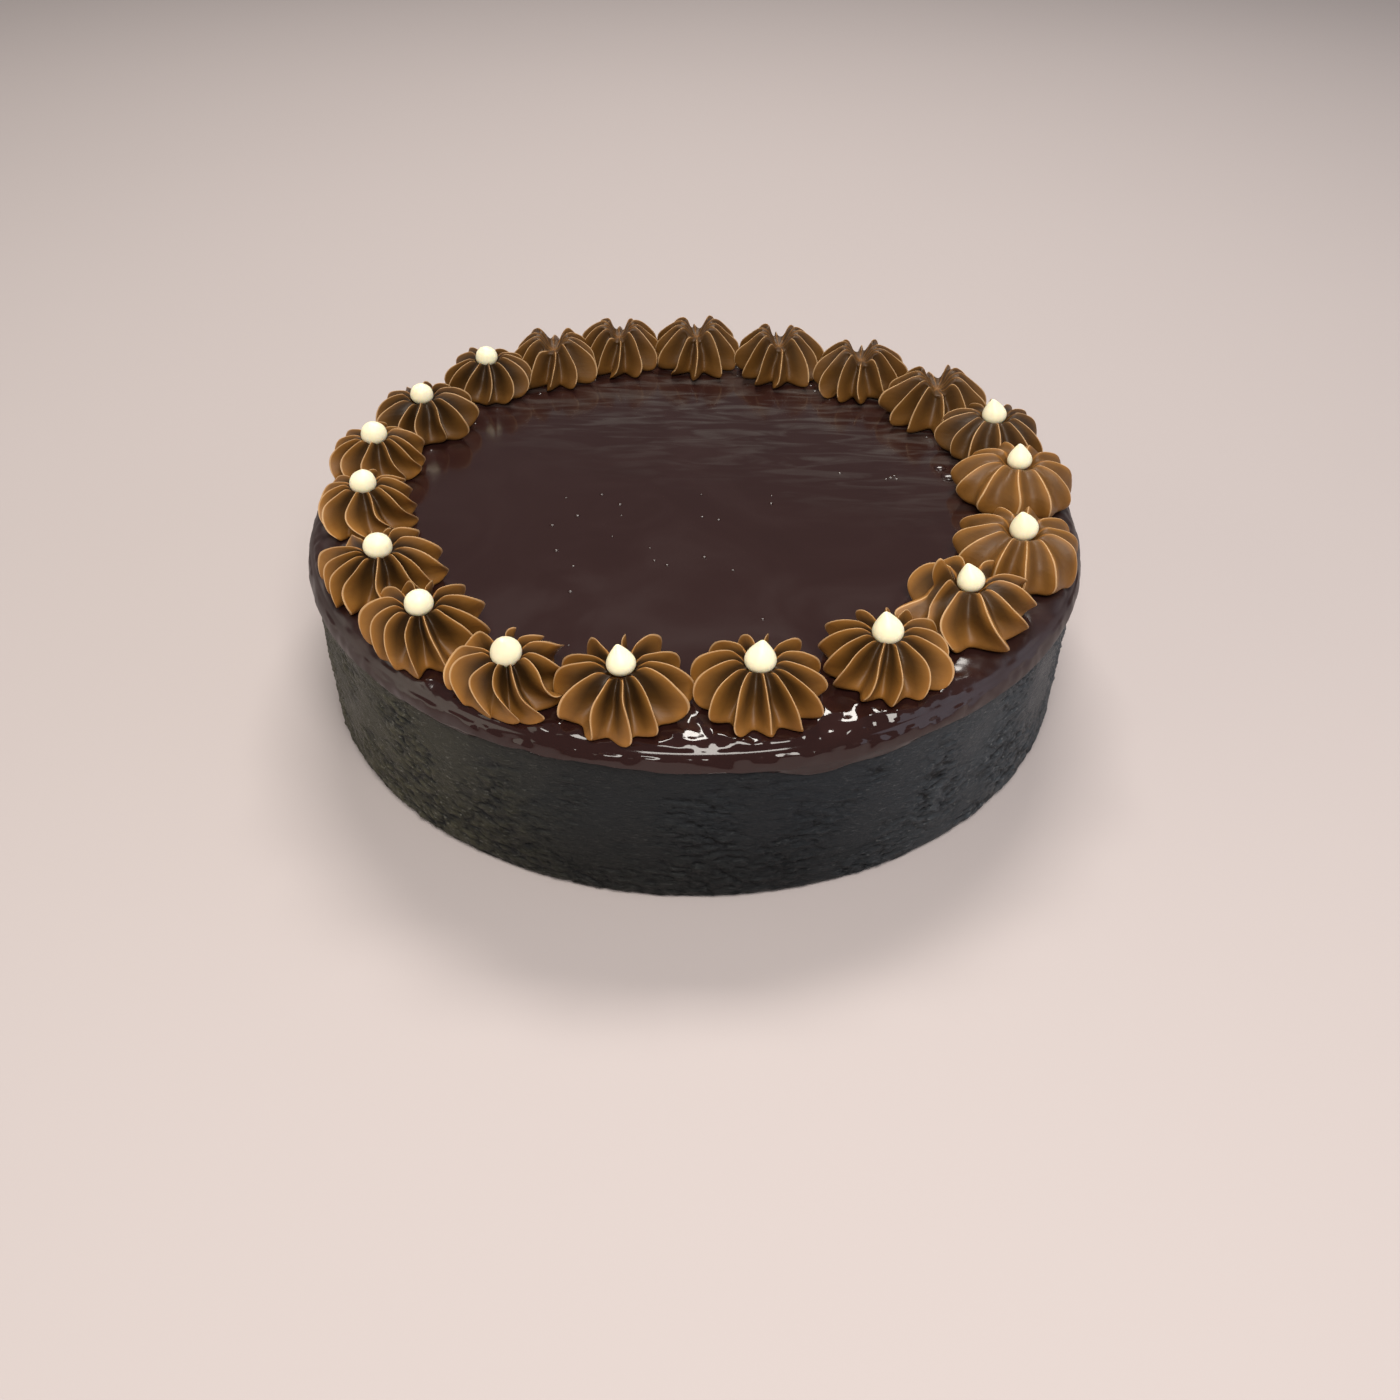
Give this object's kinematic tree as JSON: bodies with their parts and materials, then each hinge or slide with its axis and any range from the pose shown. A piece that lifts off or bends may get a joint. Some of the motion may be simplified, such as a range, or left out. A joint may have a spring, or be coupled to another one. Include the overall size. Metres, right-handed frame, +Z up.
{
  "type": "chocolate chiffon cake",
  "caption": "Round dark chocolate cake with a glossy poured glaze top and a ring of piped cream rosettes, most topped with a pale chocolate chip.",
  "frame": {"origin": "centre of the cake's flat base", "axes": "+Z up through the cake, -Y towards the front of the picture, +X to its right"},
  "size_m": [0.2, 0.2005, 0.0615],
  "materials": {
    "crumb_coat": "rough dark chocolate crumb coat",
    "ganache": "glossy poured dark chocolate glaze",
    "cream": "satin piped chocolate cream",
    "chip": "smooth pale chocolate"
  },
  "bodies": {
    "root": {"cake_body": "crumb_coat", "ganache_cap": "ganache", "rosette_01": "cream", "chip_01": "chip", "rosette_02": "cream", "chip_02": "chip", "rosette_03": "cream", "chip_03": "chip", "rosette_04": "cream", "chip_04": "chip", "rosette_05": "cream", "chip_05": "chip", "rosette_06": "cream", "chip_06": "chip", "rosette_07": "cream", "chip_07": "chip", "rosette_08": "cream", "chip_08": "chip", "rosette_09": "cream", "chip_09": "chip", "rosette_10": "cream", "chip_10": "chip", "rosette_11": "cream", "chip_11": "chip", "rosette_12": "cream", "chip_12": "chip", "rosette_13": "cream", "chip_13": "chip", "rosette_14": "cream", "chip_14": "chip", "rosette_15": "cream", "rosette_16": "cream", "rosette_17": "cream", "rosette_18": "cream", "rosette_19": "cream", "rosette_20": "cream"}
  },
  "joints": []
}
